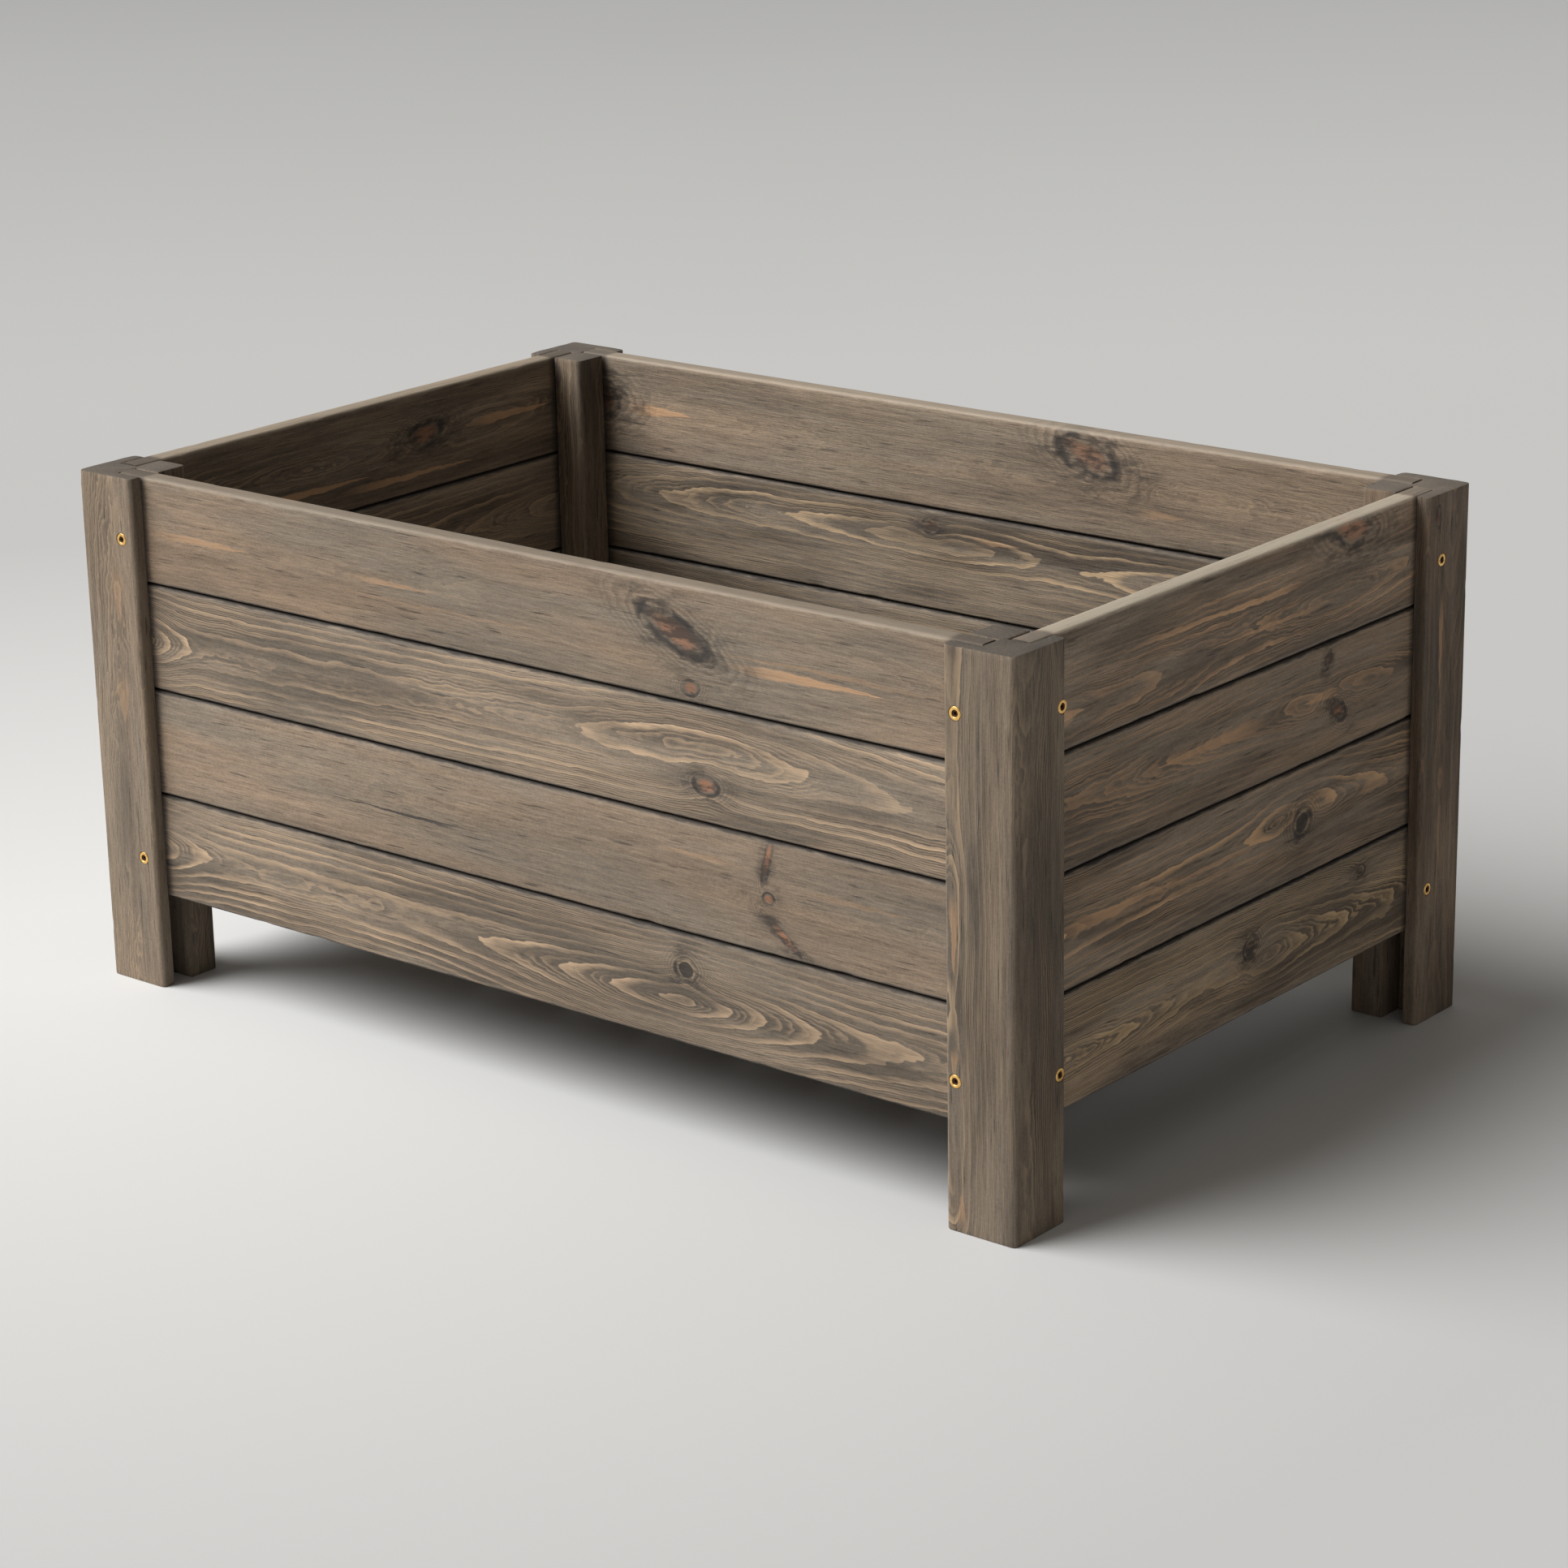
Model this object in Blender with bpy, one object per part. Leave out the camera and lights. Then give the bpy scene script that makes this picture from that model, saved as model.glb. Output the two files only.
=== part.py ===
# Raised wooden planter: four grooved corner posts that carry on down as legs,
# four tiers of boards between them on every side, and a slatted base resting
# on bearers. Metres, +Z up. The origin is on the ground under the middle of
# the planter, X runs along the long sides and the front faces -Y.

import math

import bmesh
import bpy
from mathutils import Matrix, Vector

# Overall size
PLANTER_LENGTH = 1.010
PLANTER_WIDTH = 0.646
PLANTER_HEIGHT = 0.468
REST_GAP = 0.0003          # left between two pieces that rest on each other

# Corner posts
POST_SIZE = 0.066
POST_ARRIS = 0.0045        # rounding of the long edges
POST_END_EASE = 0.0012     # chamfer round the top and the foot
CHEEK = 0.0125             # wood left outside each groove
GROOVE_WIDTH = 0.021
GROOVE_DEPTH = 0.028

# Side boards
TIERS = 4
BOARD_HEIGHT = 0.095
BOARD_THICKNESS = 0.019
BOARD_GAP = 0.0014
BOARD_ARRIS = 0.002
BOARD_TONGUE = 0.027       # length of board inside each groove

# Base: bearers screwed inside the lowest boards, slats laid across them
BEARER_WIDTH = 0.028
BEARER_BOTTOM = 0.088
LONG_BEARER_HEIGHT = 0.028
SLAT_COUNT = 9
SLAT_WIDTH = 0.088
SLAT_THICKNESS = 0.016
SLAT_END_GAP = 0.002       # between a slat's end and the board
POST_CLEARANCE = 0.002     # between a bearer's end and the post
BASE_ARRIS = 0.0015

# Countersunk screws
HEAD_RADIUS = 0.0055
HEAD_RIM = 0.0006          # straight edge of the head
HEAD_SINK = 0.0002         # head below the face of the wood
RECESS_RADIUS = 0.0024
RECESS_DEPTH = 0.0024
SHANK_RADIUS = 0.0025
TIP_LENGTH = 0.005
POST_SCREW_LENGTH = 0.040
BEARER_SCREW_LENGTH = 0.042
SCREW_SIDES = 12
CUTTER_PROUD = 0.002       # how far a cutter stands out of the face it cuts

# Height of the screws in each post, and their distance from the edge of the
# post where the boards enter. They were driven by hand, so no two agree.
SCREW_HEIGHTS = {
    "front_left": {"top": 0.4120, "bottom": 0.1200},
    "front_right": {"top": 0.4155, "bottom": 0.1235},
    "back_right": {"top": 0.4100, "bottom": 0.1210},
    "back_left": {"top": 0.4120, "bottom": 0.1210},
}
SCREW_INSETS = {
    ("front_left", "front"): {"top": 0.0160, "bottom": 0.0156},
    ("front_left", "left"): {"top": 0.0150, "bottom": 0.0130},
    ("front_right", "front"): {"top": 0.0115, "bottom": 0.0095},
    ("front_right", "right"): {"top": 0.0050, "bottom": 0.0075},
    ("back_right", "right"): {"top": 0.0225, "bottom": 0.0145},
    ("back_right", "back"): {"top": 0.0120, "bottom": 0.0150},
    ("back_left", "back"): {"top": 0.0160, "bottom": 0.0110},
    ("back_left", "left"): {"top": 0.0090, "bottom": 0.0130},
}
BEARER_SCREW_SPACING = {"front": 0.350, "back": 0.350, "left": 0.300, "right": 0.300}
BEARER_SCREW_COUNT = {"front": 3, "back": 3, "left": 2, "right": 2}

# Quarter turns that bring a piece modelled for the back (+Y) side, or for the
# back right corner, round to each of the others.
SIDE_TURNS = {"back": 0, "left": 1, "front": 2, "right": 3}
CORNER_TURNS = {"back_right": 0, "back_left": 1, "front_left": 2, "front_right": 3}
SIDE_NORMALS = {
    "front": Vector((0, -1, 0)),
    "right": Vector((1, 0, 0)),
    "back": Vector((0, 1, 0)),
    "left": Vector((-1, 0, 0)),
}

# Where the faces of the boards and posts lie, from the middle of the planter
HALF_LENGTH = PLANTER_LENGTH / 2
HALF_WIDTH = PLANTER_WIDTH / 2
BOARD_INSET = CHEEK + REST_GAP + BOARD_THICKNESS / 2
BOARD_INNER_INSET = CHEEK + REST_GAP + BOARD_THICKNESS
BOARD_PITCH = BOARD_HEIGHT + BOARD_GAP
LONG_BEARER_LENGTH = PLANTER_LENGTH - 2 * POST_SIZE - 2 * POST_CLEARANCE
END_BEARER_LENGTH = PLANTER_WIDTH - 2 * POST_SIZE - 2 * POST_CLEARANCE
SLAT_BOTTOM = BEARER_BOTTOM + LONG_BEARER_HEIGHT + REST_GAP
END_BEARER_HEIGHT = SLAT_BOTTOM + SLAT_THICKNESS - BEARER_BOTTOM


def clear_scene():
    for obj in list(bpy.data.objects):
        bpy.data.objects.remove(obj, do_unlink=True)


def make_material(name, colour, roughness, metallic=0.0):
    material = bpy.data.materials.new(name)
    material.use_nodes = True
    shader = material.node_tree.nodes["Principled BSDF"]
    shader.inputs["Base Color"].default_value = (*colour, 1.0)
    shader.inputs["Roughness"].default_value = roughness
    shader.inputs["Metallic"].default_value = metallic
    return material


def finish_mesh(bm, name):
    bmesh.ops.recalc_face_normals(bm, faces=bm.faces)
    mesh = bpy.data.meshes.new(name)
    bm.to_mesh(mesh)
    bm.free()
    return mesh


def add_object(name, mesh, material, root, location=(0, 0, 0), turn=0):
    obj = bpy.data.objects.new(name, mesh)
    bpy.context.collection.objects.link(obj)
    if not mesh.materials:
        mesh.materials.append(material)
    obj.parent = root
    obj.location = location
    obj.rotation_euler = (0, 0, turn * math.pi / 2)
    return obj


def bevel_edges(bm, edges, offset, segments):
    bmesh.ops.bevel(bm, geom=edges, offset=offset, segments=segments,
                    profile=0.5, affect='EDGES', clamp_overlap=True)


def bar_mesh(name, length, thickness, height, arris, segments=2):
    # A straight bar along X with its four long edges rounded.
    bm = bmesh.new()
    bmesh.ops.create_cube(bm, size=1.0)
    bmesh.ops.scale(bm, verts=bm.verts, vec=(length, thickness, height))
    long_edges = [e for e in bm.edges
                  if abs(e.verts[0].co.x - e.verts[1].co.x) > length / 2]
    bevel_edges(bm, long_edges, arris, segments)
    return finish_mesh(bm, name)


def post_outline():
    # Seen from above, for the corner whose outer faces look along +X and +Y.
    # One groove opens towards -X and the other towards -Y.
    half = POST_SIZE / 2
    near = half - CHEEK
    far = near - GROOVE_WIDTH
    floor = GROOVE_DEPTH - half
    one_side = [(-half, half), (-half, near), (floor, near), (floor, far), (-half, far)]
    other_side = [(y, x) for x, y in reversed(one_side)]
    return [(half, half)] + one_side + [(-half, -half)] + other_side


def post_mesh():
    bm = bmesh.new()
    half = POST_SIZE / 2
    foot = bm.faces.new([bm.verts.new((x, y, 0)) for x, y in post_outline()])
    raised = bmesh.ops.extrude_face_region(bm, geom=[foot])
    top_verts = [v for v in raised["geom"] if isinstance(v, bmesh.types.BMVert)]
    bmesh.ops.translate(bm, verts=top_verts, vec=(0, 0, PLANTER_HEIGHT))

    def on_corner(edge):
        upright = abs(edge.verts[0].co.z - edge.verts[1].co.z) > PLANTER_HEIGHT / 2
        at = edge.verts[0].co
        return upright and min(abs(at.x), abs(at.y)) > half - 1e-6

    bevel_edges(bm, [e for e in bm.edges if on_corner(e)], POST_ARRIS, 3)
    ends = [e for e in bm.edges if abs(e.verts[0].co.z - e.verts[1].co.z) < 1e-6]
    bevel_edges(bm, ends, POST_END_EASE, 1)
    return finish_mesh(bm, "corner_post")


def turned_mesh(name, profile):
    # Turns (radius, height) points about Z into a closed solid.
    bm = bmesh.new()
    verts = [bm.verts.new((radius, 0, height)) for radius, height in profile]
    edges = [bm.edges.new(pair) for pair in zip(verts, verts[1:])]
    bmesh.ops.spin(bm, geom=verts + edges, cent=(0, 0, 0), axis=(0, 0, 1),
                   angle=2 * math.pi, steps=SCREW_SIDES, use_merge=True)
    bmesh.ops.remove_doubles(bm, verts=bm.verts, dist=1e-6)
    return finish_mesh(bm, name)


def screw_mesh(name, length):
    cone_end = -HEAD_RIM - (HEAD_RADIUS - SHANK_RADIUS)
    mesh = turned_mesh(name, [
        (0, -RECESS_DEPTH),
        (RECESS_RADIUS, 0),
        (HEAD_RADIUS, 0),
        (HEAD_RADIUS, -HEAD_RIM),
        (SHANK_RADIUS, cone_end),
        (SHANK_RADIUS, TIP_LENGTH - length),
        (0, -length),
    ])
    mesh.shade_smooth()
    mesh.set_sharp_from_angle(angle=math.radians(35))
    return mesh


def screw_hole_mesh(name, length):
    # The space round a screw: its own shape plus the rest gap.
    head = HEAD_RADIUS + REST_GAP
    shank = SHANK_RADIUS + REST_GAP
    cone_start = -HEAD_RIM - REST_GAP
    return turned_mesh(name, [
        (0, CUTTER_PROUD),
        (head, CUTTER_PROUD),
        (head, cone_start),
        (shank, cone_start - (head - shank)),
        (shank, -length - REST_GAP),
        (0, -length - REST_GAP),
    ])


def side_half_depth(side):
    # From the middle of the planter to that side's outer post faces.
    return HALF_WIDTH if side in ("front", "back") else HALF_LENGTH


def tier_centre(tier):
    # Tier 1 is at the top, flush with the tops of the posts.
    return PLANTER_HEIGHT - BOARD_HEIGHT / 2 - (tier - 1) * BOARD_PITCH


def build_posts(material, root):
    mesh = post_mesh()
    posts = {}
    for corner, turn in CORNER_TURNS.items():
        x = HALF_LENGTH - POST_SIZE / 2
        y = HALF_WIDTH - POST_SIZE / 2
        place = (
            x if corner.endswith("right") else -x,
            y if corner.startswith("back") else -y,
            0,
        )
        posts[corner] = add_object("post_" + corner, mesh, material, root, place, turn)
    return posts


def build_boards(material, root):
    tongues = 2 * (BOARD_TONGUE - POST_SIZE)
    long_mesh = bar_mesh("long_board", PLANTER_LENGTH + tongues, BOARD_THICKNESS,
                         BOARD_HEIGHT, BOARD_ARRIS)
    short_mesh = bar_mesh("short_board", PLANTER_WIDTH + tongues, BOARD_THICKNESS,
                          BOARD_HEIGHT, BOARD_ARRIS)
    boards = {}
    for side, turn in SIDE_TURNS.items():
        mesh = long_mesh if side in ("front", "back") else short_mesh
        for tier in range(1, TIERS + 1):
            place = SIDE_NORMALS[side] * (side_half_depth(side) - BOARD_INSET)
            place.z = tier_centre(tier)
            name = f"{side}_board_{tier}"
            boards[side, tier] = add_object(name, mesh, material, root, place, turn)
    return boards


def build_bearers(material, root):
    long_mesh = bar_mesh("long_bearer", LONG_BEARER_LENGTH, BEARER_WIDTH,
                         LONG_BEARER_HEIGHT, BASE_ARRIS)
    end_mesh = bar_mesh("end_bearer", END_BEARER_LENGTH, BEARER_WIDTH,
                        END_BEARER_HEIGHT, BASE_ARRIS)
    inset = BOARD_INNER_INSET + REST_GAP + BEARER_WIDTH / 2
    bearers = {}
    for side, turn in SIDE_TURNS.items():
        long_side = side in ("front", "back")
        mesh = long_mesh if long_side else end_mesh
        height = LONG_BEARER_HEIGHT if long_side else END_BEARER_HEIGHT
        place = SIDE_NORMALS[side] * (side_half_depth(side) - inset)
        place.z = BEARER_BOTTOM + height / 2
        bearers[side] = add_object("bearer_" + side, mesh, material, root, place, turn)
    return bearers


def build_slats(material, root):
    length = PLANTER_WIDTH - 2 * (BOARD_INNER_INSET + SLAT_END_GAP)
    mesh = bar_mesh("base_slat", length, SLAT_WIDTH, SLAT_THICKNESS, BASE_ARRIS)
    pitch = (LONG_BEARER_LENGTH - SLAT_WIDTH) / (SLAT_COUNT - 1)
    for index in range(SLAT_COUNT):
        x = (index - (SLAT_COUNT - 1) / 2) * pitch
        place = (x, 0, SLAT_BOTTOM + SLAT_THICKNESS / 2)
        add_object(f"base_slat_{index + 1}", mesh, material, root, place, turn=1)


def drive_screw(name, meshes, material, root, place, outward, into):
    # Sets a screw and cuts its hole through every piece in "into".
    screw_shape, hole_shape = meshes
    turn = outward.to_track_quat('Z', 'Y').to_euler()
    screw = add_object(name, screw_shape, material, root, place)
    screw.rotation_euler = turn
    hole = add_object("hole_for_" + name, hole_shape, material, root, place)
    hole.rotation_euler = turn
    hole.hide_render = True
    hole.display_type = 'WIRE'
    for piece in into:
        cut = piece.modifiers.new(hole.name, 'BOOLEAN')
        cut.operation = 'DIFFERENCE'
        cut.solver = 'EXACT'
        cut.object = hole


def drive_post_screws(posts, boards, material, root):
    meshes = (screw_mesh("post_screw", POST_SCREW_LENGTH),
              screw_hole_mesh("post_screw_hole", POST_SCREW_LENGTH))
    for (corner, side), insets in SCREW_INSETS.items():
        outward = SIDE_NORMALS[side]
        post_place = posts[corner].location
        # Unit vector from the post towards the boards that this face holds.
        if side in ("front", "back"):
            inward = Vector((-math.copysign(1, post_place.x), 0, 0))
        else:
            inward = Vector((0, -math.copysign(1, post_place.y), 0))
        for level, inset in insets.items():
            place = post_place + inward * (POST_SIZE / 2 - inset)
            place += outward * (POST_SIZE / 2 - HEAD_SINK)
            place.z = SCREW_HEIGHTS[corner][level]
            tier = 1 if level == "top" else TIERS
            drive_screw(f"screw_{corner}_{side}_{level}", meshes, material, root,
                        place, outward, (posts[corner], boards[side, tier]))


def drive_bearer_screws(bearers, boards, material, root):
    meshes = (screw_mesh("bearer_screw", BEARER_SCREW_LENGTH),
              screw_hole_mesh("bearer_screw_hole", BEARER_SCREW_LENGTH))
    for side, bearer in bearers.items():
        inward = -SIDE_NORMALS[side]
        along = Matrix.Rotation(math.pi / 2, 3, 'Z') @ inward
        count = BEARER_SCREW_COUNT[side]
        for index in range(count):
            step = (index - (count - 1) / 2) * BEARER_SCREW_SPACING[side]
            place = bearer.location + inward * (BEARER_WIDTH / 2 - HEAD_SINK)
            place += along * step
            drive_screw(f"bearer_screw_{side}_{index + 1}", meshes, material, root,
                        place, inward, (bearer, boards[side, TIERS]))


def main():
    clear_scene()
    root = bpy.data.objects.new("planter", None)
    bpy.context.collection.objects.link(root)
    post_wood = make_material("post_wood", (0.165, 0.135, 0.115), 0.8)
    board_wood = make_material("board_wood", (0.225, 0.185, 0.150), 0.78)
    base_wood = make_material("base_wood", (0.330, 0.260, 0.190), 0.82)
    screw_metal = make_material("screw_metal", (0.780, 0.560, 0.250), 0.35, 1.0)

    posts = build_posts(post_wood, root)
    boards = build_boards(board_wood, root)
    bearers = build_bearers(base_wood, root)
    build_slats(base_wood, root)
    drive_post_screws(posts, boards, screw_metal, root)
    drive_bearer_screws(bearers, boards, screw_metal, root)


main()
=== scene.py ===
import math
import random

import bmesh
import bpy
from mathutils import Matrix, Vector, noise


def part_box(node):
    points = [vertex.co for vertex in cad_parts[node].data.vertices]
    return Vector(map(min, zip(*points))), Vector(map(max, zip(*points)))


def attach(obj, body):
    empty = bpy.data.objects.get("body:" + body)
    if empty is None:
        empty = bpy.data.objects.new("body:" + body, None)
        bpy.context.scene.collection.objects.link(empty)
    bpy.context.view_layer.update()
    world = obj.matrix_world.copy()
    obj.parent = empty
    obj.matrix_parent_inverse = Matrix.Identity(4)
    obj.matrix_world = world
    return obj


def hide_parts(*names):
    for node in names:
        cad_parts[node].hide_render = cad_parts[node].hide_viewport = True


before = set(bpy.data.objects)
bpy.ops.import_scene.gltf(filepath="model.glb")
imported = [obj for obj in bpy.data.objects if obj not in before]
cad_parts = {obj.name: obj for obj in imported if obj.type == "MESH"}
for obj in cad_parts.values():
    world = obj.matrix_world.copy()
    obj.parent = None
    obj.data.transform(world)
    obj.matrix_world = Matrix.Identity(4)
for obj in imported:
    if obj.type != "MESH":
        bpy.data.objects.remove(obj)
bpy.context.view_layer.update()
print("frame loaded:", len(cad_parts), "nodes")


# studio: viewpoint, floor and lights

studio = {
    "eye": (2.2388, -2.6798, 1.3191),
    "heading": 39.64,  # degrees the view is turned from straight along +Y
    "tilt": 17.91,  # degrees down
    "roll": -1.15,
    "lens": 96.35,
    "keyFrom": (-0.508, -0.474, 0.719),  # towards the key light
    "keyPower": 4.78,
    "keySoftness": 47,  # degrees across
    "sky": (0.255, 0.244, 0.226),
    "floorReach": 60.0,
    # painted light: the floor fades to a darker far colour and is paler round a painted pool, standing
    # in for the lamp's falloff
    "floorNear": (0.560, 0.559, 0.553),
    "floorFarPaintedShade": (0.400, 0.400, 0.397),
    "paintedFalloffAlong": (-0.64, 0.77, 0.0),
    "paintedFalloffStart": 2.6,
    "paintedFalloffEnd": 7.6,
    "paintedLightPoolCentre": (-0.60, -0.30, 0.0),  # palest part of the floor
    "paintedLightPoolEdge": 1.5,
    "paintedLightPoolLift": 1.20,
    "paintedLightPoolDrop": 0.80,
}


def linearOf(red, green, blue):  # screen colour 0-255 to a linear one
    def channel(value):
        value /= 255
        return value / 12.92 if value <= 0.04045 else ((value + 0.055) / 1.055) ** 2.4
    return (channel(red), channel(green), channel(blue), 1.0)


class Wires:
    # shorthands for wiring one node tree

    def __init__(self, tree):
        self.tree = tree

    def feed(self, socket, value):
        if isinstance(value, bpy.types.NodeSocket):
            self.tree.links.new(value, socket)
        elif value is not None:
            socket.default_value = value

    def node(self, kind, inputs=None, **settings):
        made = self.tree.nodes.new(kind)
        for key, value in settings.items():
            setattr(made, key, value)
        for key, value in (inputs or {}).items():
            self.feed(made.inputs[key], value)
        return made

    def group(self, tree, inputs):
        return self.node('ShaderNodeGroup', inputs, node_tree=tree).outputs

    def math(self, how, *values, clamp=False):
        made = self.node('ShaderNodeMath', operation=how, use_clamp=clamp)
        for socket, value in zip(made.inputs, values):
            self.feed(socket, value)
        return made.outputs[0]

    def times(self, *values, clamp=False):
        return self.math('MULTIPLY', *values, clamp=clamp)

    def plus(self, first, second):
        return self.math('ADD', first, second)

    def minus(self, first, second):
        return self.math('SUBTRACT', first, second)

    def vector(self, how, *values, out=0):
        made = self.node('ShaderNodeVectorMath', operation=how)
        for socket, value in zip(made.inputs, values):
            self.feed(socket, value)
        return made.outputs[out]

    def split(self, vector):
        return self.node('ShaderNodeSeparateXYZ', {0: vector}).outputs

    def stretch(self, vector, scale, shift=None):
        scaled = self.vector('MULTIPLY', vector, scale)
        return scaled if shift is None else self.vector('ADD', scaled, shift)

    def noise(self, vector, detail=2.0, rough=0.5, out=0):
        made = self.node('ShaderNodeTexNoise', {'Vector': vector, 'Scale': 1.0, 'Detail': detail,
                                                'Roughness': rough})
        return made.outputs[out]

    def ease(self, value, low, high, toLow=0.0, toHigh=1.0):
        made = self.node('ShaderNodeMapRange', {'Value': value, 'From Min': low, 'From Max': high,
                                                'To Min': toLow, 'To Max': toHigh},
                         interpolation_type='SMOOTHSTEP')
        return made.outputs[0]

    def span(self, value, low, high, toLow=0.0, toHigh=1.0):
        made = self.node('ShaderNodeMapRange', {'Value': value, 'From Min': low, 'From Max': high,
                                                'To Min': toLow, 'To Max': toHigh})
        return made.outputs[0]

    def mix(self, amount, first, second, blend='MIX'):
        made = self.node('ShaderNodeMix', data_type='RGBA', blend_type=blend)
        for key, value in ((0, amount), (6, first), (7, second)):
            self.feed(made.inputs[key], value)
        return made.outputs[2]


def makeGroup(name, inputs, outputs, build):
    tree = bpy.data.node_groups.new(name, 'ShaderNodeTree')
    for label, kind, default in inputs:
        socket = tree.interface.new_socket(label, in_out='INPUT', socket_type=kind)
        socket.default_value = default
    for label, kind in outputs:
        tree.interface.new_socket(label, in_out='OUTPUT', socket_type=kind)
    wires = Wires(tree)
    given = wires.node('NodeGroupInput').outputs
    results = build(wires, {label: given[label] for label, _, _ in inputs})
    end = wires.node('NodeGroupOutput')
    for label, socket in results.items():
        wires.feed(end.inputs[label], socket)
    return tree


number, vectorKind, colourKind = 'NodeSocketFloat', 'NodeSocketVector', 'NodeSocketColor'


def buildKnot(w, given):
    # an ellipse in the face of the board, tilted, with a wobbling outline
    away = w.vector('SUBTRACT', given['Place'], given['Centre'])
    level = w.node('ShaderNodeVectorRotate', {'Vector': away, 'Angle': given['Tilt']},
                   rotation_type='Y_AXIS').outputs[0]
    fitted = w.vector('DIVIDE', level, given['Half Size'])
    flat = w.vector('MULTIPLY', fitted, (1.0, 0.0, 1.0))
    wobble, ragged, _ = w.split(given['Sway'])
    reach = w.vector('LENGTH', flat, out=1)
    reach = w.plus(reach, w.times(w.minus(wobble, 0.5), 0.62))
    heart = w.ease(reach, 1.05, 0.80)
    rim = w.ease(w.math('ABSOLUTE', w.minus(reach, 1.0)), 0.30, 0.03)
    rim = w.times(rim, w.ease(ragged, 0.42, 0.60, 0.15, 1.0))
    halo = w.ease(reach, 3.2, 0.9)
    fall = w.math('EXPONENT', w.math('DIVIDE', w.times(reach, reach), -4.5))
    return {'Heart': heart, 'Rim': rim, 'Halo': halo, 'Reach': reach,
            'Push': w.times(fall, given['Push'])}


def buildStreak(w, given):
    # a resinous flame: blunt and faint at its root, drawn out to a point
    x, _, z = w.split(w.vector('SUBTRACT', given['Place'], given['Root']))
    wander = w.split(given['Sway'])[2]
    z = w.plus(z, w.times(w.minus(wander, 0.5), given['Wander']))
    run = w.math('DIVIDE', x, given['Length'])
    taper = w.math('POWER', w.math('SUBTRACT', 1.0, run, clamp=True), 0.75)
    swell = w.times(w.ease(run, -0.05, 0.35), taper)
    height = w.math('MAXIMUM', w.times(swell, given['Half Height']), 0.00005)
    side = w.math('DIVIDE', w.math('ABSOLUTE', z), height)
    inside = w.times(w.ease(side, 1.15, 0.75), w.ease(run, 0.0, 0.5))
    return {'Mask': w.times(inside, given['Strength'])}


def buildRings(w, given):
    # distance from a wandering pith line, counted in rings
    shifted = w.vector('ADD', given['Place'], w.vector('MULTIPLY', (1.7, 2.3, 3.1), given['Seed']))
    slow = w.noise(w.stretch(shifted, (3.2, 5, 6)), 1.0, out=1)
    slow = w.split(w.vector('SUBTRACT', slow, (0.5, 0.5, 0.5)))
    brisk = w.noise(w.stretch(shifted, (20, 34, 46)), 3.0, 0.6)
    tiny = w.noise(w.stretch(shifted, (70, 240, 330)), 1.0)
    _, y, z = w.split(given['Place'])
    across = w.plus(w.minus(z, given['Pith Height']),
                    w.times(w.times(slow[0], 0.016), given['Drift']))
    deep = w.plus(w.minus(y, given['Pith Depth']),
                  w.times(w.times(slow[1], 0.012), given['Drift']))
    radius = w.math('SQRT', w.plus(w.times(across, across), w.times(deep, deep)))
    ripple = w.times(w.minus(brisk, 0.5), 0.0068)
    ripple = w.plus(ripple, w.times(w.minus(tiny, 0.5), 0.0007))
    radius = w.plus(radius, w.times(ripple, given['Wander']))
    radius = w.plus(radius, given['Push'])
    # some years grew fast and others slowly
    years = w.node('ShaderNodeTexNoise', {'W': w.times(radius, 95.0), 'Detail': 1.0,
                                          'Scale': 1.0}, noise_dimensions='1D').outputs[0]
    years = w.times(w.minus(years, 0.5), given['Uneven'])
    flat = w.math('DIVIDE', w.math('ABSOLUTE', deep), radius)
    return {'Rings': w.plus(w.math('DIVIDE', radius, given['Ring Width']), years),
            'Flat': w.ease(flat, 0.40, 0.92)}


woodTones = {
    "grey": linearOf(126, 114, 100),
    "brown": linearOf(142, 121, 101),
    "dark": linearOf(72, 63, 54),
    "tan": linearOf(188, 149, 113),
    "charcoal": linearOf(44, 41, 40),
    "knot": linearOf(158, 112, 84),
    "knotDark": linearOf(62, 52, 46),
    "knotPale": linearOf(160, 140, 114),
    "knotGrey": linearOf(96, 90, 82),
}


def scaleColour(w, colour, amount):
    made = w.node('ShaderNodeVectorMath', {0: colour, 'Scale': amount}, operation='SCALE')
    return made.outputs[0]


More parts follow.
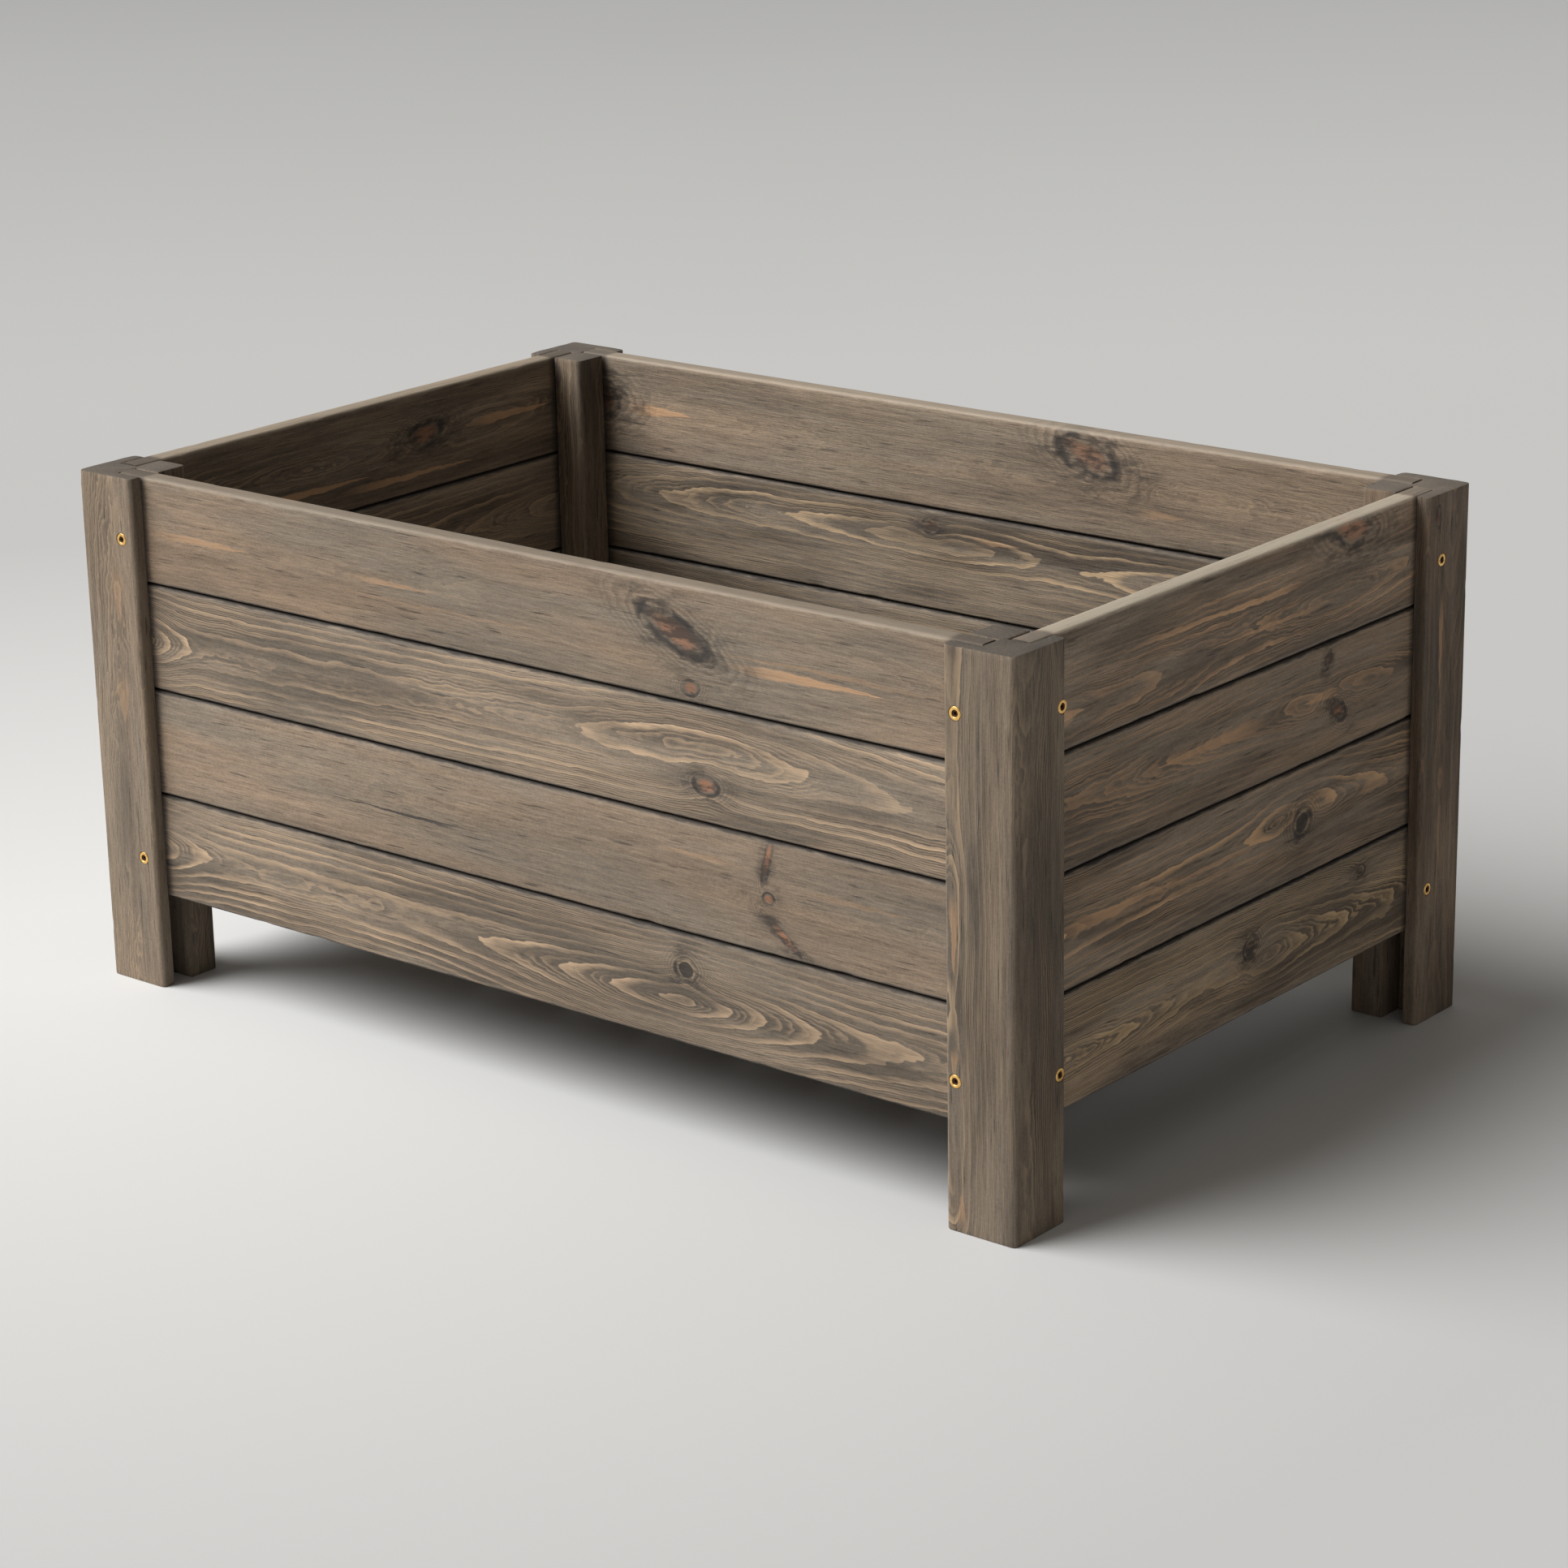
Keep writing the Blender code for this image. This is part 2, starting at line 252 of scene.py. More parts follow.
def buildSkin(w, given):
    # colour, roughness and relief of stained softwood
    place = w.vector('ADD', given['Place'], w.vector('MULTIPLY', (0.9, 1.3, 0.7), given['Seed']))
    ring = w.math('FRACT', given['Rings'])
    ringNumber = w.plus(w.math('FLOOR', given['Rings']), given['Seed'])
    luck = w.node('ShaderNodeTexWhiteNoise', {'W': ringNumber}, noise_dimensions='1D').outputs[0]
    late = w.times(w.ease(ring, 0.50, 0.97), w.ease(ring, 1.0, 0.97))
    patches = w.noise(w.stretch(place, (7, 32, 44)), 3.0, 0.65)
    lateBand = w.times(late, w.span(luck, 0.0, 1.0, 0.35, 1.1))
    lateBand = w.times(lateBand, w.span(given['Flat'], 0.0, 1.0, 0.35, 1.15))
    lateBand = w.times(lateBand, w.ease(patches, 0.32, 0.60, given['Even'], 1.2))
    # thin pale lines between the strong ones, coming and going
    thin = w.math('FRACT', w.times(given['Rings'], 4.0))
    thin = w.times(w.ease(thin, 0.3, 0.9), w.ease(thin, 1.0, 0.9))
    thinPatch = w.noise(w.stretch(place, (6, 40, 50), (3, 5, 2)), 2.0)
    thin = w.times(thin, w.ease(thinPatch, 0.40, 0.62))
    fibre = w.noise(w.stretch(place, (13, 240, 300)), 4.0, 0.8)
    hair = w.noise(w.stretch(place, (60, 900, 1000)), 2.0, 0.6)
    speckle = w.noise(w.stretch(place, (430, 430, 430)), 2.0, 0.7)
    blotch = w.noise(w.stretch(place, (2.8, 15, 20)), 4.0, 0.6)
    warmth = w.noise(w.stretch(place, (3.2, 17, 24), (7, 3, 1)), 3.0, 0.55)
    pores = w.noise(w.stretch(place, (20, 300, 380), (1, 8, 4)), 2.0, 0.6)

    colour = w.mix(w.times(w.ease(warmth, 0.36, 0.66), given['Warmth'], clamp=True),
                   woodTones["grey"], woodTones["brown"])
    dark = w.times(w.ease(blotch, 0.38, 0.62), given['Stain'], clamp=True)
    colour = w.mix(dark, colour, woodTones["dark"])
    colour = w.mix(w.times(w.ease(pores, 0.60, 0.70), 0.62), colour, woodTones["charcoal"])
    grain = w.times(w.minus(fibre, 0.5), 1.2)
    grain = w.plus(grain, w.times(w.minus(hair, 0.5), 0.8))
    grain = w.plus(grain, w.times(w.minus(speckle, 0.5), 0.62))
    colour = scaleColour(w, colour, w.plus(1.0, grain))
    colour = w.mix(w.times(thin, given['Fine'], clamp=True), colour, given['Band Colour'])
    square = w.node('ShaderNodeNewGeometry').outputs['Normal']
    sideways = w.math('ABSOLUTE', w.split(square)[0])
    strength = w.times(given['Bands'], w.minus(1.0, w.times(sideways, given['Side Fade'])))
    bandAmount = w.times(lateBand, strength)
    bandAmount = w.times(bandAmount, w.ease(fibre, 0.2, 0.55, 0.55, 1.0), clamp=True)
    colour = w.mix(bandAmount, colour, given['Band Colour'])
    streak = w.times(given['Tan'], w.ease(fibre, 0.25, 0.6, 0.7, 1.0), clamp=True)
    colour = w.mix(w.times(streak, 0.8), colour, woodTones["tan"])
    # soot-dark stain round knots, then the knot itself
    sooty = w.noise(w.stretch(place, (40, 90, 110)), 3.0, 0.7)
    sootAndPaintedShade = w.times(given['Halo'], w.ease(sooty, 0.46, 0.66))
    colour = w.mix(w.times(sootAndPaintedShade, 0.72), colour, woodTones["charcoal"])
    swirl = w.math('FRACT', w.times(given['Reach'], 3.2))
    swirl = w.times(w.ease(swirl, 0.2, 0.8), w.ease(swirl, 1.0, 0.85))
    colour = w.mix(w.times(w.times(swirl, given['Halo']), 0.48), colour, woodTones["dark"])
    shell = w.mix(given['Knot Warmth'], woodTones["knotPale"], woodTones["knotGrey"])
    core = w.mix(w.times(w.ease(given['Reach'], 0.85, 0.35), given['Knot Warmth'],
                         clamp=True), shell, woodTones["knot"])
    core = w.mix(w.ease(sooty, 0.42, 0.60, 0.0, 0.85), core, woodTones["knotDark"])
    # a dead knot is black inside a pale ring
    dead = w.times(w.ease(given['Reach'], 0.78, 0.60),
                   w.minus(1.0, given['Knot Warmth']), clamp=True)
    core = w.mix(dead, core, woodTones["charcoal"])
    colour = w.mix(w.times(given['Heart'], 0.88), colour, core)
    colour = w.mix(w.times(given['Rim'], 0.85), colour, woodTones["charcoal"])
    gape = w.times(given['Crack'], w.ease(fibre, 0.2, 0.45), clamp=True)
    colour = w.mix(w.times(gape, 0.85), colour, woodTones["charcoal"])
    # dirt and painted shade along the long edges and where the boards run into the posts, painted shade
    # on the post cheeks, pale worn arrises, and bleached edges that face the sky
    _, y, z = w.split(given['Place'])
    half = w.split(given['Half Size'])
    edgeNoise = w.noise(w.stretch(place, (45, 150, 150)), 3.0, 0.65)
    edgeNoise = w.times(w.minus(edgeNoise, 0.5), 0.004)
    above = w.plus(w.minus(half[2], z), edgeNoise)
    below = w.plus(w.plus(half[2], z), edgeNoise)
    grimeAndPaintedShade = w.math('MAXIMUM', w.times(w.ease(above, 0.0036, 0.0006), given['Grime And Painted Shade Top']),
                   w.times(w.ease(below, 0.0036, 0.0006), given['Grime And Painted Shade Bottom']))
    # dirt and painted shade where the board runs into a post
    ends = w.minus(half[0], w.math('ABSOLUTE', w.split(given['Place'])[0]))
    ends = w.times(w.ease(w.plus(ends, edgeNoise), 0.036, 0.027), given['End Dirt And Painted Shade'])
    grimeAndPaintedShade = w.math('MAXIMUM', w.math('MAXIMUM', grimeAndPaintedShade, ends),
                   w.node('ShaderNodeAttribute', attribute_name="sootAndPaintedShade").outputs['Fac'])
    colour = w.mix(w.times(grimeAndPaintedShade, 0.85), colour, woodTones["charcoal"])
    inFromY = w.minus(half[1], w.math('ABSOLUTE', w.minus(y, half[1])))
    inFromZ = w.math('MINIMUM', above, below)
    toEdge = w.math('MAXIMUM', w.plus(inFromY, edgeNoise), inFromZ)
    worn = w.times(w.ease(toEdge, 0.0042, 0.0008), given['Edge Wear'])
    worn = w.times(worn, w.minus(1.0, grimeAndPaintedShade))
    colour = w.mix(w.times(worn, 0.4), colour, linearOf(186, 172, 154))
    upward = w.split(square)[2]
    bleach = w.times(w.ease(upward, 0.35, 0.9), given['Bleach'])
    bleach = w.times(bleach, w.minus(1.0, grimeAndPaintedShade))
    bleach = w.times(bleach, w.ease(fibre, 0.2, 0.6, 0.5, 1.0), clamp=True)
    colour = w.mix(bleach, colour, given['Top Colour'])
    # painted side shade: faces turned along X are darkened, or lightened where the value is negative
    paintedSideShadeScale = w.minus(1.0, w.times(sideways, given['Painted Side Shade']))
    colour = scaleColour(w, colour, w.times(paintedSideShadeScale, given['Brightness']))

    rough = w.span(fibre, 0.2, 0.8, 0.88, 0.70)
    rough = w.minus(rough, w.times(bandAmount, 0.12))
    relief = w.plus(w.times(w.minus(fibre, 0.5), 0.00075), w.times(w.minus(hair, 0.5), 0.00022))
    return {'Colour': colour, 'Roughness': rough, 'Height': relief}


knotGroup = makeGroup("knot", [
    ('Place', vectorKind, (0, 0, 0)), ('Centre', vectorKind, (0, 0, 0)),
    ('Half Size', vectorKind, (0.01, 1, 0.01)), ('Tilt', number, 0.0), ('Push', number, 0.0),
    ('Sway', vectorKind, (0.5, 0.5, 0.5)),
], [('Heart', number), ('Rim', number), ('Halo', number), ('Reach', number), ('Push', number)],
    buildKnot)
streakGroup = makeGroup("resin streak", [
    ('Place', vectorKind, (0, 0, 0)), ('Root', vectorKind, (0, 0, 0)), ('Length', number, 0.1),
    ('Half Height', number, 0.005), ('Strength', number, 1.0), ('Wander', number, 0.006),
    ('Sway', vectorKind, (0.5, 0.5, 0.5)),
], [('Mask', number)], buildStreak)
ringGroup = makeGroup("growth rings", [
    ('Place', vectorKind, (0, 0, 0)), ('Pith Height', number, 0.0), ('Pith Depth', number, 0.02),
    ('Ring Width', number, 0.006), ('Wander', number, 1.0), ('Push', number, 0.0),
    ('Seed', number, 0.0), ('Drift', number, 1.0), ('Uneven', number, 1.0),
], [('Rings', number), ('Flat', number)], buildRings)
skinGroup = makeGroup("stained softwood", [
    ('Place', vectorKind, (0, 0, 0)), ('Rings', number, 0.0), ('Half Size', vectorKind, (1, 1, 1)),
    ('Bands', number, 1.0), ('Stain', number, 0.5), ('Warmth', number, 0.3), ('Tan', number, 0.0),
    ('Heart', number, 0.0), ('Rim', number, 0.0), ('Halo', number, 0.0), ('Reach', number, 9.0),
    ('Edge Wear', number, 1.0), ('Bleach', number, 0.6), ('Brightness', number, 1.0),
    ('Seed', number, 0.0), ('Fine', number, 0.3), ('Band Colour', colourKind, (1, 1, 1, 1)),
    ('Side Fade', number, 0.0), ('Knot Warmth', number, 1.0), ('Grime And Painted Shade Top', number, 1.0),
    ('Grime And Painted Shade Bottom', number, 1.0), ('Crack', number, 0.0), ('End Dirt And Painted Shade', number, 0.0),
    ('Painted Side Shade', number, 0.0), ('Even', number, 0.28), ('Flat', number, 1.0),
    ('Top Colour', colourKind, (1, 1, 1, 1)),
], [('Colour', colourKind), ('Roughness', number), ('Height', number)], buildSkin)
print("shader groups built")


def curveOf(w, x, points, low, high, reach):
    # a smooth line through (place along the piece, value) points
    made = w.node('ShaderNodeFloatCurve', {'Value': w.span(x, -reach, reach)})
    line = made.mapping.curves[0]
    marks = [((px + reach) / (2 * reach), (value - low) / (high - low)) for px, value in points]
    line.points[0].location = marks[0]
    line.points[1].location = marks[-1]
    for mark in marks[1:-1]:
        line.points.new(*mark)
    made.mapping.update()
    return w.span(made.outputs[0], 0.0, 1.0, low, high)


plainWood = {
    "seed": 0.0, "wander": 1.0, "drift": 1.0, "uneven": 1.0, "knots": (), "streaks": (),
    "cracks": (), "bands": 1.0, "stain": 0.5, "warmth": 0.3, "wear": 1.0, "bleach": 0.3,
    "bright": 1.0, "fade": 0.0, "fine": 0.35, "even": 0.28, "knotWarmth": 0.8, "endDirtAndPaintedShade": 0.0,
    "sideFade": 0.0, "paintedSideShade": 0.0, "grimeAndPaintedShadeTop": 1.0, "grimeAndPaintedShadeBottom": 1.0,
    "topColour": (205, 193, 178), "bandColour": (186, 160, 128),
    "streakWander": 0.006, "crackWander": 0.004,
}


def startFinish(name):
    material = bpy.data.materials.new(name)
    material.use_nodes = True
    w = Wires(material.node_tree)
    place = w.node('ShaderNodeTexCoord').outputs['Object']
    return material, w, place


def endFinish(material, w, colour, rough, height, distance, strength):
    shader = material.node_tree.nodes["Principled BSDF"]
    bump = w.node('ShaderNodeBump', {'Height': height, 'Distance': distance,
                                     'Strength': strength})
    w.feed(shader.inputs['Base Color'], colour)
    w.feed(shader.inputs['Roughness'], rough)
    w.feed(shader.inputs['Normal'], bump.outputs[0])
    return shader


def makeWood(name, ownLook, origin, turn, half):
    # ownLook: this piece's own grain; origin and turn bring the pattern onto the piece
    look = dict(plainWood, **ownLook)
    material, w, place = startFinish(name)
    place = w.node('ShaderNodeMapping', {'Vector': place, 'Location': origin, 'Rotation': turn},
                   vector_type='TEXTURE').outputs[0]
    seed = look["seed"]
    sway = w.noise(w.stretch(place, (46, 20, 62), (seed, seed, seed)), 3.0, 0.55, out=1)
    push, heart, rim, halo, reach = 0.0, 0.0, 0.0, 0.0, 9.0
    for at, z, halfLong, halfHigh, tilt, shove in look["knots"]:
        knot = w.group(knotGroup, {
            'Place': place, 'Centre': (at, 0, z), 'Tilt': math.radians(tilt),
            'Half Size': (halfLong, 1, halfHigh), 'Push': shove, 'Sway': sway})
        push = w.plus(push, knot['Push'])
        heart = w.math('MAXIMUM', heart, knot['Heart'])
        rim = w.math('MAXIMUM', rim, knot['Rim'])
        halo = w.math('MAXIMUM', halo, knot['Halo'])
        reach = w.math('MINIMUM', reach, knot['Reach'])
    drawn = {}
    for kind, wander in (("streaks", look["streakWander"]), ("cracks", look["crackWander"])):
        mask = 0.0
        for at, z, length, halfHigh, strength in look[kind]:
            streak = w.group(streakGroup, {
                'Place': place, 'Root': (at, 0, z), 'Length': length, 'Half Height': halfHigh,
                'Strength': strength, 'Sway': sway, 'Wander': wander})
            mask = w.math('MAXIMUM', mask, streak['Mask'])
        drawn[kind] = mask
    along = w.split(place)[0]
    rings = w.group(ringGroup, {
        'Place': place, 'Push': push, 'Seed': seed, 'Ring Width': look["ring"],
        'Pith Height': curveOf(w, along, look["rise"], -0.05, 0.05, half[0]),
        'Pith Depth': curveOf(w, along, look["depth"], -0.05, 0.15, half[0]),
        'Wander': look["wander"], 'Drift': look["drift"], 'Uneven': look["uneven"]})
    bright = look["bright"]
    brightness = w.plus(bright, w.times(along, bright * look["fade"]))
    skin = w.group(skinGroup, {
        'Place': place, 'Half Size': half, 'Seed': seed, 'Brightness': brightness,
        'Rings': rings['Rings'], 'Flat': rings['Flat'],
        'Tan': drawn["streaks"], 'Crack': drawn["cracks"],
        'Heart': heart, 'Rim': rim, 'Halo': halo, 'Reach': reach,
        'Bands': look["bands"], 'Stain': look["stain"], 'Warmth': look["warmth"],
        'Edge Wear': look["wear"], 'Bleach': look["bleach"], 'Fine': look["fine"],
        'Even': look["even"], 'Knot Warmth': look["knotWarmth"], 'End Dirt And Painted Shade': look["endDirtAndPaintedShade"],
        'Side Fade': look["sideFade"], 'Painted Side Shade': look["paintedSideShade"],
        'Grime And Painted Shade Top': look["grimeAndPaintedShadeTop"], 'Grime And Painted Shade Bottom': look["grimeAndPaintedShadeBottom"],
        'Top Colour': linearOf(*look["topColour"]),
        'Band Colour': linearOf(*look["bandColour"])})
    shader = endFinish(material, w, skin['Colour'], skin['Roughness'], skin['Height'], 1.0, 0.9)
    shader.inputs['Specular IOR Level'].default_value = 0.35
    return material


# mesh work shared by the timber pieces

def asObject(name, bm):
    mesh = bpy.data.meshes.new(name)
    bm.to_mesh(mesh)
    bm.free()
    made = bpy.data.objects.new(name, mesh)
    bpy.context.collection.objects.link(made)
    return made


def asPiece(name, bm, node, material, sharp=40):
    piece = asObject(name, bm)
    piece.data.shade_smooth()
    piece.data.set_sharp_from_angle(angle=math.radians(sharp))
    piece.data.materials.append(material)
    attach(piece, "root")
    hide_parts(node)
    return piece


def spread(edge, axis):
    return abs(edge.verts[0].co[axis] - edge.verts[1].co[axis])


def barShape(size, arris, rounding, cutsLong, cutsHigh, cutsThick):
    # a bar along X with rounded long edges, divided finely enough to wear
    bm = bmesh.new()
    bmesh.ops.create_cube(bm, size=1.0)
    bmesh.ops.scale(bm, verts=bm.verts, vec=size)
    bmesh.ops.bevel(bm, geom=[e for e in bm.edges if spread(e, 0) > size.x / 2], offset=arris,
                    offset_type='OFFSET', segments=rounding, profile=0.5, affect='EDGES',
                    material=-1)
    for axis, cuts in ((2, cutsHigh), (1, cutsThick), (0, cutsLong)):
        reach = size[axis] / 2
        bmesh.ops.subdivide_edges(bm, edges=[e for e in bm.edges if spread(e, axis) > reach],
                                  cuts=cuts)
    return bm


def weather(bm, half, wear, knots=(), seed=0.0):
    # wears the arrises unevenly, ripples the faces and lifts the wood round the knots
    for vert in bm.verts:
        x, y, z = vert.co
        sideY = 1 if y > 0 else -1
        sideZ = 1 if z > 0 else -1
        nearEdge = max(half.y - abs(y), half.z - abs(z))
        onArris = max(0.0, 1.0 - nearEdge / wear["band"])
        rub = 0.5 + 0.5 * noise.noise((x * 16 + seed, sideY * 4.0, sideZ * 9.0))
        nick = noise.noise((x * 30 + seed * 2, sideY * 7.0, sideZ * 3.0)) - wear["nickFrom"]
        pull = onArris * (wear["rub"] * rub + wear["nick"] * max(0.0, nick))
        vert.co.y -= sideY * pull
        vert.co.z -= sideZ * pull
        ripple = noise.noise((x * 9 + seed, z * 60, sideY * 5.0))
        vert.co.y += wear["ripple"] * (ripple * min(1.0, max(0.0, 1 - onArris)) - sideY)
        vert.co.y += wear["cup"] * ((z / half.z) ** 2 - 0.5)
        vert.co.y += wear["bow"] * math.cos(math.pi * x / (2 * half.x))
        for at, height, halfLong, halfHigh, *_ in knots:
            reach = math.hypot((x - at) / halfLong, (z - height) / halfHigh)
            lift = wear["knotLift"] * math.exp(-((reach - 1.3) / 0.8) ** 2)
            lift -= wear["knotHollow"] * math.exp(-reach ** 2)
            vert.co.y += sideY * lift * (1 - onArris)


def buildBar(node, look, wear, cuts):
    # the grain is laid out from the outer face of the bar
    lo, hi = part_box(node)
    size = hi - lo
    middle = (lo + hi) / 2
    isLong = size.x > size.y
    turn = 0.0 if isLong else math.pi / 2
    bar = size.copy() if isLong else Vector((size.y, size.x, size.z))
    bm = barShape(bar, wear["arris"], wear["rounding"], cuts["long" if isLong else "short"],
                  cuts["high"], cuts["thick"])
    weather(bm, bar / 2, wear, look.get("knots", ()), look["seed"])
    bmesh.ops.transform(bm, verts=bm.verts,
                        matrix=Matrix.Translation(middle) @ Matrix.Rotation(turn, 4, 'Z'))
    origin = (middle.x, lo.y, middle.z) if isLong else (hi.x, middle.y, middle.z)
    material = makeWood(f"{node} timber", look, origin, (0, 0, turn), bar / 2)
    return asPiece(f"worn_{node}", bm, node, material)


# side boards: places along the board and up it are in metres from its middle,
# with the face that the room sees at depth 0

plankWear = {"band": 0.004, "rub": 0.0006, "nick": 0.0022, "nickFrom": 0.30, "ripple": 0.00018,
             "cup": 0.0004, "bow": 0.0002, "arris": 0.0022, "rounding": 3,
             "knotLift": 0.0007, "knotHollow": 0.0005}
plankCuts = {"long": 230, "short": 150, "high": 17, "thick": 3}
tierLook = {"endDirtAndPaintedShade": 0.8}
topTierLook = {"grimeAndPaintedShadeTop": 0.0, "bleach": 0.7, "topColour": (126, 116, 103)}

longBoards = {
    "front_board_1": {
        "seed": 3.1, "ring": 0.0034, "bands": 0.1, "fine": 0.1, "stain": 0.25, "warmth": 1.0,
        "wander": 0.8, "bright": 0.91, "knotWarmth": 0.85,
        "rise": [(-0.466, 0), (0.1, 0), (0.466, -0.004)],
        "depth": [(-0.466, 0.052), (0, 0.06), (0.17, 0.05), (0.466, 0.066)],
        "knots": [(0.168, 0.008, 0.037, 0.013, -24, 0.011), (0.183, -0.035, 0.009, 0.006, 10, 0.003)],
        "streaks": [(-0.44, -0.001, 0.135, 0.0048, 0.8), (-0.2, -0.002, 0.108, 0.0042, 0.6),
                    (0.205, -0.01, 0.17, 0.0064, 1.0), (0.45, -0.001, -0.24, 0.0032, 0.4),
                    (0.1, -0.016, -0.34, 0.0014, 0.35)]},
    "front_board_2": {
        "seed": 7.4, "ring": 0.0061, "bands": 0.9, "stain": 0.6, "warmth": 0.2, "wander": 0.85,
        "drift": 0.2, "uneven": 0.4, "fine": 0.4, "bandColour": (190, 162, 132), "knotWarmth": 0.9,
        "rise": [(-0.466, -0.003), (-0.2, 0.001), (0.05, 0.007), (0.2, 0.012), (0.466, 0.002)],
        "depth": [(-0.466, 0.0095), (-0.44, 0.012), (-0.39, 0.0244), (-0.33, 0.0256), (0, 0.0264),
                  (0.075, 0.0244), (0.13, 0.0203), (0.182, 0.0196), (0.235, 0.0203), (0.29, 0.0244),
                  (0.407, 0.0305), (0.466, 0.0325)],
        "knots": [(0.197, -0.016, 0.013, 0.0075, 0, 0.007)]},
    "front_board_3": {
        "seed": 12.8, "ring": 0.003, "bands": 0.08, "fine": 0.1, "stain": 0.22, "warmth": 0.85,
        "wander": 0.8, "bright": 0.94, "fade": -0.3, "knotWarmth": 1.0,
        "rise": [(-0.466, 0.01), (0.466, 0)],
        "depth": [(-0.466, 0.07), (0.1, 0.066), (0.466, 0.06)],
        "knots": [(0.257, 0.031, 0.02, 0.004, 76, 0.004), (0.258, -0.001, 0.006, 0.005, 0, 0.003),
                  (0.273, -0.03, 0.024, 0.0045, -38, 0.005)],
        "streaks": [(0.24, 0.02, -0.1, 0.004, 0.35), (0.28, 0.012, 0.12, 0.004, 0.35)],
        "cracks": [(-0.02, -0.008, -0.21, 0.0015, 1.0), (-0.06, -0.0085, -0.12, 0.0022, 1.0)]},
    "front_board_4": {
        "seed": 21.5, "ring": 0.006, "bands": 1.05, "stain": 0.65, "warmth": 0.2, "wander": 0.75,
        "drift": 0.3, "uneven": 0.4, "knotWarmth": 0.05, "fine": 0.4, "fade": -0.32,
        "bright": 0.86, "bandColour": (190, 162, 132),
        "rise": [(-0.466, -0.003), (-0.2, 0), (0.1, -0.01), (0.466, -0.004)],
        "depth": [(-0.466, 0.012), (-0.44, 0.014), (-0.388, 0.024), (-0.25, 0.027), (-0.12, 0.027),
                  (-0.04, 0.024), (0.03, 0.018), (0.085, 0.012), (0.15, 0.006), (0.21, 0.011),
                  (0.262, 0.018), (0.315, 0.024), (0.41, 0.03), (0.466, 0.033)],
        "knots": [(0.17, 0.018, 0.0105, 0.0095, 0, -0.009)]},
    "back_board_1": {
        "seed": 31.7, "ring": 0.0036, "bands": 0.22, "stain": 0.4, "warmth": 0.6, "wander": 0.9,
        "bright": 1.2, "fade": -0.25, "fine": 0.2, "knotWarmth": 0.7,
        "rise": [(-0.466, 0.004), (0.466, -0.002)],
        "depth": [(-0.466, 0.03), (0, 0.04), (0.13, 0.036), (0.466, 0.05)],
        "knots": [(0.135, 0.026, 0.034, 0.016, -20, 0.01), (-0.448, 0.004, 0.032, 0.017, 0, 0.009)],
        "streaks": [(-0.415, 0, 0.085, 0.0085, 1.0), (0.18, -0.018, 0.06, 0.006, 0.4)]},
    "back_board_2": {
        "seed": 37.9, "ring": 0.0058, "bands": 0.85, "stain": 0.9, "warmth": 0.05, "wander": 0.9,
        "bright": 1.1, "fade": -0.2, "knotWarmth": 0.6,
        "rise": [(-0.466, 0.016), (0, 0.017), (0.466, 0.008)],
        "depth": [(-0.466, 0.03), (-0.365, 0.024), (-0.28, 0.02), (-0.225, 0.018), (-0.12, 0.013),
                  (-0.03, 0.008), (0.05, 0.014), (0.105, 0.018), (0.25, 0.011), (0.466, 0.02)],
        "knots": [(-0.04, 0.032, 0.01, 0.0075, 0, 0.006)],
        "streaks": [(0, 0.026, 0.06, 0.004, 0.5)]},
    "back_board_3": {
        "seed": 41.2, "ring": 0.0052, "bands": 0.5, "stain": 0.9, "warmth": 0.1, "wander": 0.8,
        "rise": [(-0.466, 0), (0.466, 0.01)],
        "depth": [(-0.466, 0.018), (0.1, 0.03), (0.466, 0.012)]},
    "back_board_4": {
        "seed": 47.6, "ring": 0.0055, "bands": 0.6, "stain": 0.7, "warmth": 0.2, "wander": 0.9,
        "rise": [(-0.466, 0.01), (0.466, -0.01)],
        "depth": [(-0.466, 0.034), (-0.1, 0.016), (0.466, 0.028)],
        "knots": [(-0.12, 0.006, 0.013, 0.009, 0, 0.007)]},
}

